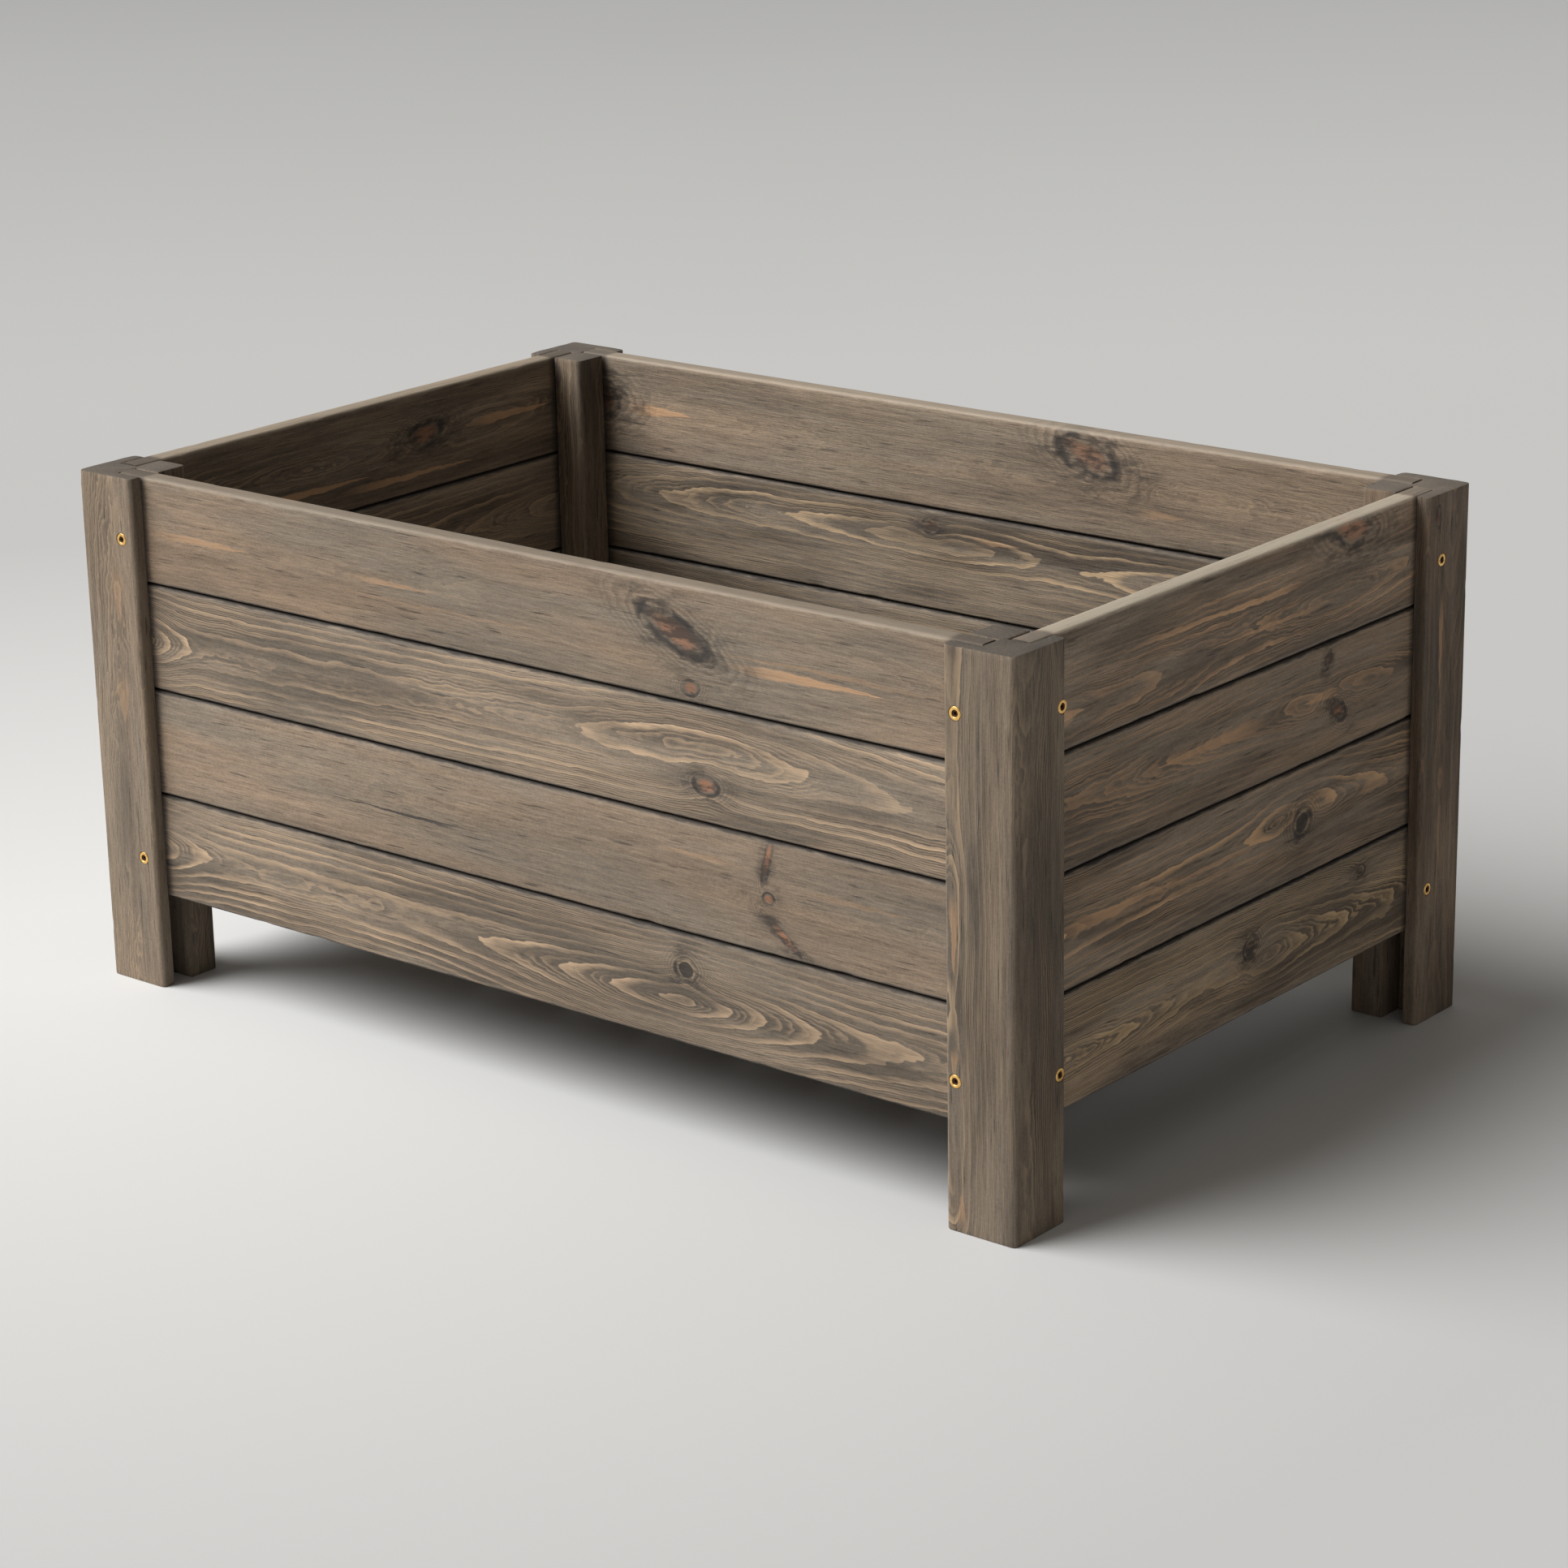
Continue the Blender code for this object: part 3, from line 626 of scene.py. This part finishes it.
shortBoards = {
    "right_board_1": {
        "bleach": 1.0, "bright": 1.42, "fine": 0.3, "topColour": (132, 123, 109), "even": 0.1,
        "bandColour": (182, 144, 108), "knotWarmth": 0.8,
        "seed": 53.3, "ring": 0.0052, "bands": 0.45, "stain": 0.75, "warmth": 0.35, "wander": 1.0,
        "rise": [(-0.284, -0.022), (-0.1, -0.02), (0.284, -0.004)],
        "depth": [(-0.284, 0.01), (-0.215, 0.017), (-0.097, 0.0235), (0, 0.027), (0.15, 0.022),
                  (0.284, 0.03)],
        "knots": [(0.158, 0.04, 0.034, 0.014, -12, 0.012)],
        "streaks": [(-0.19, 0.012, 0.28, 0.0035, 0.7), (0.1, 0.01, -0.12, 0.004, 0.9),
                    (-0.12, 0.024, 0.22, 0.0022, 0.5), (0.16, -0.014, -0.21, 0.0028, 0.55),
                    (0.128, 0.042, 0.066, 0.005, 0.9), (-0.262, -0.02, 0.046, 0.007, 0.7)]},
    "right_board_2": {
        "bright": 1.03, "fine": 0.5, "bandColour": (178, 143, 108), "knotWarmth": 1.0,
        "even": 0.1,
        "seed": 59.9, "ring": 0.0048, "bands": 0.45, "stain": 0.7, "warmth": 0.4, "wander": 0.7,
        "rise": [(-0.284, 0.007), (0.284, 0.002)],
        "depth": [(-0.284, 0.034), (-0.118, 0.03), (0, 0.024), (0.14, 0.016), (0.284, 0.026)],
        "knots": [(0.141, -0.013, 0.014, 0.008, -35, 0.008), (0.126, 0.034, 0.0045, 0.008, -20, 0.003)],
        "streaks": [(0.06, 0.004, -0.18, 0.008, 0.75), (0.15, 0.004, -0.06, 0.006, 0.8)]},
    "right_board_3": {
        "bright": 1.1, "fine": 0.4, "bandColour": (188, 152, 114), "knotWarmth": 0.1,
        "even": 0.1,
        "seed": 66.1, "ring": 0.0063, "bands": 0.95, "stain": 0.9, "warmth": 0.3, "wander": 0.8,
        "rise": [(-0.284, 0), (0, 0.002), (0.1, 0.008), (0.284, 0)],
        "depth": [(-0.284, 0.016), (-0.1, 0.024), (0, 0.02), (0.09, 0.008), (0.16, 0.019),
                  (0.284, 0.026)],
        "knots": [(0.09, 0, 0.013, 0.0115, 0, 0.009)],
        "streaks": [(-0.284, 0.001, 0.19, 0.0075, 0.75), (0.05, -0.001, -0.16, 0.0035, 0.6)]},
    "right_board_4": {
        "bright": 1.22, "fine": 0.55, "bandColour": (182, 155, 118), "knotWarmth": 0.3,
        "even": 0.1,
        "seed": 72.8, "ring": 0.0056, "bands": 0.9, "stain": 0.8, "warmth": 0.5, "wander": 1.0,
        "rise": [(-0.284, -0.006), (0, -0.002), (0.284, -0.016)],
        "depth": [(-0.284, 0.008), (-0.1, 0.018), (-0.065, 0.021), (0, 0.018), (0.02, 0.015),
                  (0.1, 0.024), (0.284, 0.036)],
        "knots": [(0.016, 0.009, 0.011, 0.009, 20, 0.009), (0.182, 0.029, 0.007, 0.005, 0, 0.003)]},
    "left_board_1": {
        "topColour": (150, 136, 118),
        "seed": 77.7, "ring": 0.005, "bands": 0.35, "stain": 0.7, "warmth": 0.4, "wander": 0.9,
        "rise": [(-0.284, 0.004), (0.284, 0.002)],
        "depth": [(-0.284, 0.026), (0.05, 0.016), (0.284, 0.03)],
        "knots": [(0.075, 0.006, 0.024, 0.011, 10, 0.01)],
        "streaks": [(-0.2, -0.02, 0.2, 0.006, 1.0), (0.12, 0.004, 0.13, 0.007, 1.0),
                    (-0.06, -0.03, 0.2, 0.005, 0.9)]},
    "left_board_2": {
        "seed": 83.4, "ring": 0.0055, "bands": 0.5, "stain": 0.8, "warmth": 0.25, "wander": 0.9,
        "rise": [(-0.284, 0.01), (0.284, -0.004)],
        "depth": [(-0.284, 0.02), (0, 0.032), (0.284, 0.018)]},
    "left_board_3": {
        "seed": 89.0, "ring": 0.0052, "bands": 0.6, "stain": 0.7, "warmth": 0.2, "wander": 0.9,
        "rise": [(-0.284, -0.006), (0.284, 0.006)],
        "depth": [(-0.284, 0.034), (0.06, 0.014), (0.284, 0.028)],
        "knots": [(0.06, 0.004, 0.012, 0.009, 0, 0.008)]},
    "left_board_4": {
        "seed": 95.5, "ring": 0.0058, "bands": 0.65, "stain": 0.65, "warmth": 0.2, "wander": 1.0,
        "rise": [(-0.284, 0.012), (0.284, -0.01)],
        "depth": [(-0.284, 0.016), (0.284, 0.034)]},
}


def buildBoard(node, ownLook):
    tier = dict(tierLook, **topTierLook) if node.endswith("_1") else tierLook
    return buildBar(node, dict(tier, **ownLook), plankWear, plankCuts)


boardPieces = {node: buildBoard(node, look)
               for node, look in {**longBoards, **shortBoards}.items()}
print("side boards built:", len(boardPieces))


# corner posts

postShape = {"cheek": 0.0125, "groove": 0.021, "grooveDepth": 0.028, "arris": 0.0045,
             "endEase": 0.0012, "rounding": 5, "cutsHigh": 120, "cutsWide": 5, "widest": 0.006}
postWear = {"band": 0.006, "rub": 0.0004, "nick": 0.0012, "nickFrom": 0.25, "ripple": 0.00015,
            "cheekPaintedShade": 0.10, "topBand": 0.002, "topWear": 0.0007}
# the posts get painted side shade on their faces turned along X
postFinish = {"bleach": 0.9, "topColour": (86, 80, 73), "wear": 0.3, "paintedSideShade": 0.22,
              "grimeAndPaintedShadeTop": 0.0, "grimeAndPaintedShadeBottom": 0.0, "sideFade": 0.85}

postLooks = {
    "post_front_left": {
        "seed": 5.2, "ring": 0.0042, "bands": 0.14, "stain": 0.5, "warmth": 0.5, "wander": 1.0,
        "rise": [(-0.234, 0), (0.234, -0.01)], "depth": [(-0.234, 0.04), (0.234, 0.05)],
        "bright": 0.95,
        "streaks": [(0.16, -0.008, -0.06, 0.01, 0.35), (0.06, -0.006, -0.05, 0.012, 0.35)],
        "cracks": [(0.1, 0.012, -0.05, 0.0012, 0.6), (-0.05, -0.014, -0.07, 0.0012, 0.6)]},
    "post_front_right": {
        "seed": 9.9, "ring": 0.0048, "bands": 0.75, "stain": 0.7, "warmth": 0.3, "wander": 0.5,
        # a negative side shade paints the right face lighter
        "bright": 0.68, "paintedSideShade": -0.25,
        "rise": [(-0.234, 0.024), (0.02, 0.026), (0.234, 0.022)],
        "depth": [(-0.234, 0.013), (-0.21, 0.0095), (-0.12, 0.008), (-0.05, 0.0125), (0.03, 0.0095),
                  (0.1, 0.0145), (0.234, 0.016)],
        "streaks": [(0.05, 0.024, -0.075, 0.0055, 0.8), (-0.08, 0.024, -0.03, 0.005, 0.7),
                    (-0.232, 0.018, 0.03, 0.006, 0.7)],
        "cracks": [(0.125, 0, -0.04, 0.0009, 0.9), (0.03, 0.016, -0.03, 0.0009, 0.9),
                   (0.005, -0.018, -0.045, 0.0009, 0.8), (0.165, -0.018, -0.04, 0.0009, 0.8)]},
    "post_back_right": {
        "seed": 15.3, "ring": 0.0044, "bands": 0.35, "stain": 0.8, "warmth": 0.5, "wander": 0.7,
        "facesRight": True, "paintedSideShade": 0, "sideFade": 0, "bright": 0.98,
        "bandColour": (170, 132, 98), "rise": [(-0.234, 0.004), (0.234, -0.004)],
        "depth": [(-0.234, 0.026), (0, 0.034), (0.234, 0.028)],
        "knots": [(0.214, 0.018, 0.009, 0.004, 0, 0.003)],
        "streaks": [(0.16, 0.009, -0.1, 0.0045, 0.7), (-0.02, 0.004, -0.12, 0.003, 0.4)]},
    "post_back_left": {
        "seed": 25.8, "ring": 0.0046, "bands": 0.3, "stain": 0.8, "warmth": 0.3, "wander": 0.8,
        "rise": [(-0.234, 0.008), (0.234, 0)], "depth": [(-0.234, 0.028), (0.234, 0.036)]},
}


def postOutline(half):
    near = half - postShape["cheek"]
    far = near - postShape["groove"]
    bed = postShape["grooveDepth"] - half
    oneSide = [(-half, half), (-half, near), (bed, near), (bed, far), (-half, far)]
    otherSide = [(y, x) for x, y in reversed(oneSide)]
    return [(half, half)] + oneSide + [(-half, -half)] + otherSide


def buildPost(node, quarterTurns):
    lo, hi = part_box(node)
    half = (hi.x - lo.x) / 2
    tall = hi.z - lo.z
    bm = bmesh.new()
    foot = bm.faces.new([bm.verts.new((x, y, 0)) for x, y in postOutline(half)])
    raised = bmesh.ops.extrude_face_region(bm, geom=[foot])["geom"]
    bmesh.ops.translate(bm, verts=[v for v in raised if isinstance(v, bmesh.types.BMVert)],
                        vec=(0, 0, tall))
    bmesh.ops.recalc_face_normals(bm, faces=bm.faces)
    corners = [e for e in bm.edges if spread(e, 2) > tall / 2
               and min(abs(e.verts[0].co.x), abs(e.verts[0].co.y)) > half - 1e-6]
    bmesh.ops.bevel(bm, geom=corners, offset=postShape["arris"], offset_type='OFFSET',
                    segments=postShape["rounding"], profile=0.5, affect='EDGES', material=-1)
    ends = [e for e in bm.edges if spread(e, 2) < 1e-6]
    bmesh.ops.bevel(bm, geom=ends, offset=postShape["endEase"], offset_type='OFFSET',
                    segments=2, profile=0.5, affect='EDGES', material=-1)
    wide = [e for e in bm.edges if spread(e, 2) < 1e-6 and e.calc_length() > postShape["widest"]]
    bmesh.ops.subdivide_edges(bm, edges=wide, cuts=postShape["cutsWide"])
    bmesh.ops.subdivide_edges(bm, edges=[e for e in bm.edges if spread(e, 2) > tall / 2],
                              cuts=postShape["cutsHigh"])
    seed = postLooks[node]["seed"]
    sootAndPaintedShade = bm.verts.layers.float.new("sootAndPaintedShade")
    for vert in bm.verts:
        x, y, z = vert.co
        outX, outY = half - abs(x), half - abs(y)
        # painted shade on the sides that the boards enter
        onCheek = min(x, y) < 0.0006 - half and max(x, y) > -half + 0.03
        vert[sootAndPaintedShade] = postWear["cheekPaintedShade"] if onCheek else 0.0
        onArris = max(0.0, 1 - max(outX, outY) / postWear["band"])
        sideX, sideY = (1 if x > 0 else -1), (1 if y > 0 else -1)
        rub = 0.5 + 0.5 * noise.noise((z * 15 + seed, sideX * 5.0, sideY * 8.0))
        nick = noise.noise((z * 48 + seed, sideX * 3.0, sideY * 6.0)) - postWear["nickFrom"]
        pull = onArris * (postWear["rub"] * rub + postWear["nick"] * max(0.0, nick))
        vert.co.x -= sideX * pull
        vert.co.y -= sideY * pull
        for axis, gap in ((0, outX), (1, outY)):
            if gap < 1e-5:
                swell = noise.noise((x * 40 + seed, y * 40, z * 8 + axis * 3))
                side = sideX if axis == 0 else sideY
                vert.co[axis] -= side * postWear["ripple"] * (1 + swell)
        atTop = max(0.0, (z - tall + postWear["topBand"]) / postWear["topBand"])
        pitted = 0.5 + 0.5 * noise.noise((x * 120, y * 120, seed))
        vert.co.z -= atTop * postWear["topWear"] * pitted
    middle = Vector(((lo.x + hi.x) / 2, (lo.y + hi.y) / 2, 0))
    bmesh.ops.transform(bm, verts=bm.verts, matrix=Matrix.Translation(middle)
                        @ Matrix.Rotation(quarterTurns * math.pi / 2, 4, 'Z'))
    look = dict(postFinish, **postLooks[node])
    # the grain is laid out from the face that the room sees
    if look.get("facesRight"):
        origin = (hi.x, middle.y, tall / 2)
        turn = Matrix(((0, -1, 0), (0, 0, -1), (1, 0, 0))).to_euler()
    else:
        origin = (middle.x, lo.y, tall / 2)
        turn = (0, -math.pi / 2, 0)
    material = makeWood(f"{node} timber", look, origin, turn, (tall / 2, half, half))
    return asPiece(f"worn_{node}", bm, node, material)


postTurns = {"post_back_right": 0, "post_back_left": 1, "post_front_left": 2,
             "post_front_right": 3}
postPieces = {node: buildPost(node, turns) for node, turns in postTurns.items()}
print("posts built")


# base: bearers and slats

baseWear = dict(plankWear, band=0.003, rub=0.0005, nick=0.0030, cup=0.0, bow=0.0, arris=0.0015,
                rounding=2)
baseCuts = {"long": 90, "short": 90, "high": 4, "thick": 4}
baseLook = {"ring": 0.0045, "bands": 0.45, "stain": 0.15, "warmth": 0.6, "wander": 1.0,
            "bright": 1.35, "wear": 0.5, "bleach": 0.15}


def buildBatten(node, seed):
    lo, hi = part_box(node)
    reach = max(hi - lo) / 2
    pick = random.Random(seed)
    look = dict(baseLook, seed=seed, rise=[(-reach, pick.uniform(-0.02, 0.02)), (reach, 0.0)],
                depth=[(-reach, pick.uniform(0.03, 0.06)), (0, pick.uniform(0.02, 0.05)),
                       (reach, pick.uniform(0.03, 0.06))])
    return buildBar(node, look, baseWear, baseCuts)


battenNodes = sorted(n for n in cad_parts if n.startswith(("base_slat", "bearer_"))
                     and "screw" not in n)
battenPieces = {node: buildBatten(node, 101.0 + 3.7 * place)
                for place, node in enumerate(battenNodes)}
print("base built:", len(battenPieces))


# screws

screwShape = {"head": 0.0054, "rim": 0.0006, "shank": 0.0017, "thread": 0.0025, "pitch": 0.0026,
              "tip": 0.005, "plain": 0.007, "dish": 0.0010, "dishRadius": 0.0026,
              "recess": 0.0026, "slot": 0.0008, "recessDepth": 0.0032, "proud": 0.00015,
              "threadSteps": 18, "headSteps": 40}
seatShape = {"mouth": 0.0061, "head": 0.0057, "cone": 0.0008, "shank": 0.0028, "proud": 0.002,
             "past": 0.0003, "steps": 32}


def turned(profile, steps):
    bm = bmesh.new()
    verts = [bm.verts.new((radius, 0, height)) for radius, height in profile]
    edges = [bm.edges.new(pair) for pair in zip(verts, verts[1:])]
    bmesh.ops.spin(bm, geom=verts + edges, cent=(0, 0, 0), axis=(0, 0, 1), angle=2 * math.pi,
                   steps=steps, use_merge=True)
    bmesh.ops.remove_doubles(bm, verts=bm.verts, dist=1e-6)
    bmesh.ops.recalc_face_normals(bm, faces=bm.faces)
    return bm


def cutAway(piece, cutter):
    cut = piece.modifiers.new("cut", 'BOOLEAN')
    cut.operation = 'DIFFERENCE'
    cut.solver = 'EXACT'
    cut.object = cutter
    bpy.context.view_layer.update()
    seen = piece.evaluated_get(bpy.context.evaluated_depsgraph_get())
    whole = bpy.data.meshes.new_from_object(seen)
    piece.modifiers.remove(cut)
    old = piece.data
    piece.data = whole
    whole.name = old.name
    bpy.data.meshes.remove(old)
    bpy.data.objects.remove(cutter)


def screwBody(length):
    s = screwShape
    coneEnd = -s["rim"] - (s["head"] - s["shank"])
    head = asObject("screw", turned([
        (0, -s["dish"]), (s["dishRadius"] * 0.8, -s["dish"]), (s["dishRadius"], -0.0006),
        (s["head"] * 0.60, -0.0001), (s["head"] * 0.76, 0), (s["head"] * 0.92, -0.00015),
        (s["head"], -s["rim"] * 0.7), (s["head"], -s["rim"]), (s["shank"] * 1.25, coneEnd),
        (s["shank"] * 1.25, -s["plain"]), (s["shank"], -s["plain"] - 0.0006),
        (s["shank"], s["tip"] - length), (0, -length)], s["headSteps"]))
    for turn in (0, 1):
        bm = bmesh.new()
        made = bmesh.ops.create_cube(bm, size=1.0)["verts"]
        bmesh.ops.scale(bm, verts=made, vec=(2 * s["recess"], 2 * s["slot"],
                                             2 * s["recessDepth"]))
        bmesh.ops.scale(bm, verts=[v for v in made if v.co.z < 0], vec=(0.4, 0.6, 1.0))
        bmesh.ops.rotate(bm, verts=made, matrix=Matrix.Rotation(turn * math.pi / 2, 3, 'Z'))
        cutAway(head, asObject("cross", bm))
    bm = bmesh.new()
    bm.from_mesh(head.data)
    # the thread: a small ridge wound down the shank
    stepsPerTurn = s["threadSteps"]
    start = -s["plain"] - 0.002
    turns = (length - s["tip"] * 0.7 + start) / s["pitch"]
    ridge = [bm.verts.new((s["shank"] * 0.9, 0, start + 0.0008)),
             bm.verts.new((s["thread"], 0, start)),
             bm.verts.new((s["shank"] * 0.9, 0, start - 0.0008))]
    cap = bm.faces.new(ridge)
    steps = int(stepsPerTurn * turns)
    bmesh.ops.spin(bm, geom=[cap], cent=(0, 0, 0), axis=(0, 0, 1),
                   dvec=(0, 0, -s["pitch"] / stepsPerTurn),
                   angle=2 * math.pi * steps / stepsPerTurn, steps=steps)
    bmesh.ops.recalc_face_normals(bm, faces=bm.faces)
    bpy.data.objects.remove(head)
    mesh = bpy.data.meshes.new("screw body")
    bm.to_mesh(mesh)
    bm.free()
    # painted shade: the dished top and the recess are marked, for the finish to darken
    sootAndPaintedShade = mesh.attributes.new("sootAndPaintedShade", 'FLOAT', 'POINT')
    for vert in mesh.vertices:
        across = math.hypot(vert.co.x, vert.co.y)
        inside = across < s["dishRadius"] * 1.01 and vert.co.z > -s["recessDepth"] * 1.1
        sootAndPaintedShade.data[vert.index].value = 1.0 if inside and vert.co.z < -0.0003 else 0.0
    return mesh


def seatCutter(length):
    s = seatShape
    coneStart = -s["cone"]
    return turned([(0, s["proud"]), (s["mouth"] + 0.0004, s["proud"]), (s["mouth"], 0),
                   (s["head"], -0.0005), (s["head"], coneStart),
                   (s["shank"], coneStart - (s["head"] - s["shank"])),
                   (s["shank"], -length - s["past"]), (0, -length - s["past"])], s["steps"])


def screwFinish():
    material, w, place = startFinish("yellow plated steel")
    tarnish = w.noise(w.stretch(place, (700, 700, 700)), 4.0, 0.6)
    scratch = w.noise(w.stretch(place, (2600, 900, 2600)), 2.0)
    colour = w.mix(w.ease(tarnish, 0.40, 0.72), linearOf(250, 204, 122), linearOf(196, 140, 76))
    sootAndPaintedShade = w.node('ShaderNodeAttribute', attribute_name="sootAndPaintedShade").outputs['Fac']
    # painted shade in the dished top and recess of the head
    colour = w.mix(w.ease(sootAndPaintedShade, 0.1, 0.8), colour, linearOf(74, 52, 34))
    rough = w.plus(w.span(tarnish, 0.2, 0.8, 0.20, 0.42), w.times(sootAndPaintedShade, 0.35))
    shader = endFinish(material, w, colour, rough, scratch, 0.00004, 0.5)
    shader.inputs['Metallic'].default_value = 0.8
    return material


def screwPose(node):
    # the head is at the end of the screw's box that lies on the post or bearer's face
    lo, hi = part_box(node)
    size = hi - lo
    axis = 0 if size.x > size.y else 1
    middle = (lo + hi) / 2
    outward = Vector((0, 0, 0))
    if node.startswith("bearer"):
        outward[axis] = -1 if middle[axis] > 0 else 1
    else:
        outward[axis] = 1 if middle[axis] > 0 else -1
    place = middle + outward * (size[axis] / 2)
    return place, outward, size[axis]


screwMaterial = screwFinish()
screwBodies = {}
cuts = {}
screwNodes = sorted(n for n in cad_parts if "screw" in n)
for index, node in enumerate(screwNodes):
    place, outward, length = screwPose(node)
    facing = outward.to_track_quat('Z', 'Y').to_matrix().to_4x4()
    spot = Matrix.Translation(place + outward * screwShape["proud"])
    key = round(length, 4)
    if key not in screwBodies:
        screwBodies[key] = screwBody(length)
    mesh = screwBodies[key].copy()
    mesh.transform(spot @ facing @ Matrix.Rotation(index * 1.9, 4, 'Z'))
    bm = bmesh.new()
    bm.from_mesh(mesh)
    bpy.data.meshes.remove(mesh)
    asPiece(f"driven_{node}", bm, node, screwMaterial, 30)
    # remember the seats to cut in the timber that the screw goes through
    if node.startswith("bearer"):
        side = node.split("_")[2]
        through = [battenPieces[f"bearer_{side}"], boardPieces[f"{side}_board_4"]]
    else:
        _, depth, across, side, level = node.split("_")
        tier = 1 if level == "top" else 4
        through = [postPieces[f"post_{depth}_{across}"], boardPieces[f"{side}_board_{tier}"]]
    for piece in through:
        cuts.setdefault(piece, []).append((Matrix.Translation(place) @ facing, length))
print("screws built:", len(screwNodes))

for piece, seats in cuts.items():
    joined = bmesh.new()
    for seat, length in seats:
        shape = seatCutter(length)
        shape.transform(seat)
        mesh = bpy.data.meshes.new("seat")
        shape.to_mesh(mesh)
        shape.free()
        joined.from_mesh(mesh)
        bpy.data.meshes.remove(mesh)
    cutAway(piece, asObject("seats", joined))
print("screw seats cut:", len(cuts))


# floor, light and camera

def buildFloor():
    bm = bmesh.new()
    bmesh.ops.create_grid(bm, x_segments=8, y_segments=8, size=studio["floorReach"])
    floor = asObject("studio_floor", bm)
    material, w, place = startFinish("studio floor with painted light")
    # painted light falloff: the floor colour darkens with distance from the object
    away = w.vector('DOT_PRODUCT', place, studio["paintedFalloffAlong"], out=1)
    colour = w.mix(w.span(away, studio["paintedFalloffStart"], studio["paintedFalloffEnd"]),
                   (*studio["floorNear"], 1.0), (*studio["floorFarPaintedShade"], 1.0))
    # painted pool of light: paler near its centre, darker past its edge
    out = w.vector('DISTANCE', place, studio["paintedLightPoolCentre"], out=1)
    paintedLightPool = w.span(out, 0.1, studio["paintedLightPoolEdge"], studio["paintedLightPoolLift"], studio["paintedLightPoolDrop"])
    colour = scaleColour(w, colour, paintedLightPool)
    mottle = w.noise(w.stretch(place, (0.9, 0.9, 0.9)), 3.0)
    colour = w.mix(w.span(mottle, 0.0, 1.0, 0.0, 0.06), colour, linearOf(120, 120, 119))
    rough = w.span(mottle, 0.3, 0.7, 0.55, 0.68)
    speck = w.noise(w.stretch(place, (900, 900, 900)), 2.0)
    shader = endFinish(material, w, colour, rough, speck, 0.0001, 0.3)
    shader.inputs['Specular IOR Level'].default_value = 0.25
    floor.data.materials.append(material)


def buildLights():
    key = bpy.data.lights.new("key", 'SUN')
    key.energy = studio["keyPower"]
    key.angle = math.radians(studio["keySoftness"])
    lamp = bpy.data.objects.new("key", key)
    lamp.rotation_euler = Vector(studio["keyFrom"]).to_track_quat('Z', 'Y').to_euler()
    bpy.context.collection.objects.link(lamp)
    world = bpy.data.worlds.new("studio")
    world.use_nodes = True
    world.node_tree.nodes["Background"].inputs[0].default_value = (*studio["sky"], 1.0)
    bpy.context.scene.world = world


def buildCamera():
    data = bpy.data.cameras.new("viewpoint")
    data.lens = studio["lens"]
    data.sensor_width = 36.0
    data.clip_end = 200.0
    camera = bpy.data.objects.new("viewpoint", data)
    aim = (Matrix.Rotation(math.radians(studio["heading"]), 4, 'Z')
           @ Matrix.Rotation(math.radians(90 - studio["tilt"]), 4, 'X')
           @ Matrix.Rotation(math.radians(studio["roll"]), 4, 'Z'))
    camera.matrix_world = Matrix.Translation(studio["eye"]) @ aim
    bpy.context.collection.objects.link(camera)
    bpy.context.scene.camera = camera


buildFloor()
buildLights()
buildCamera()
bpy.context.scene.view_settings.view_transform = 'Standard'
print("studio ready")
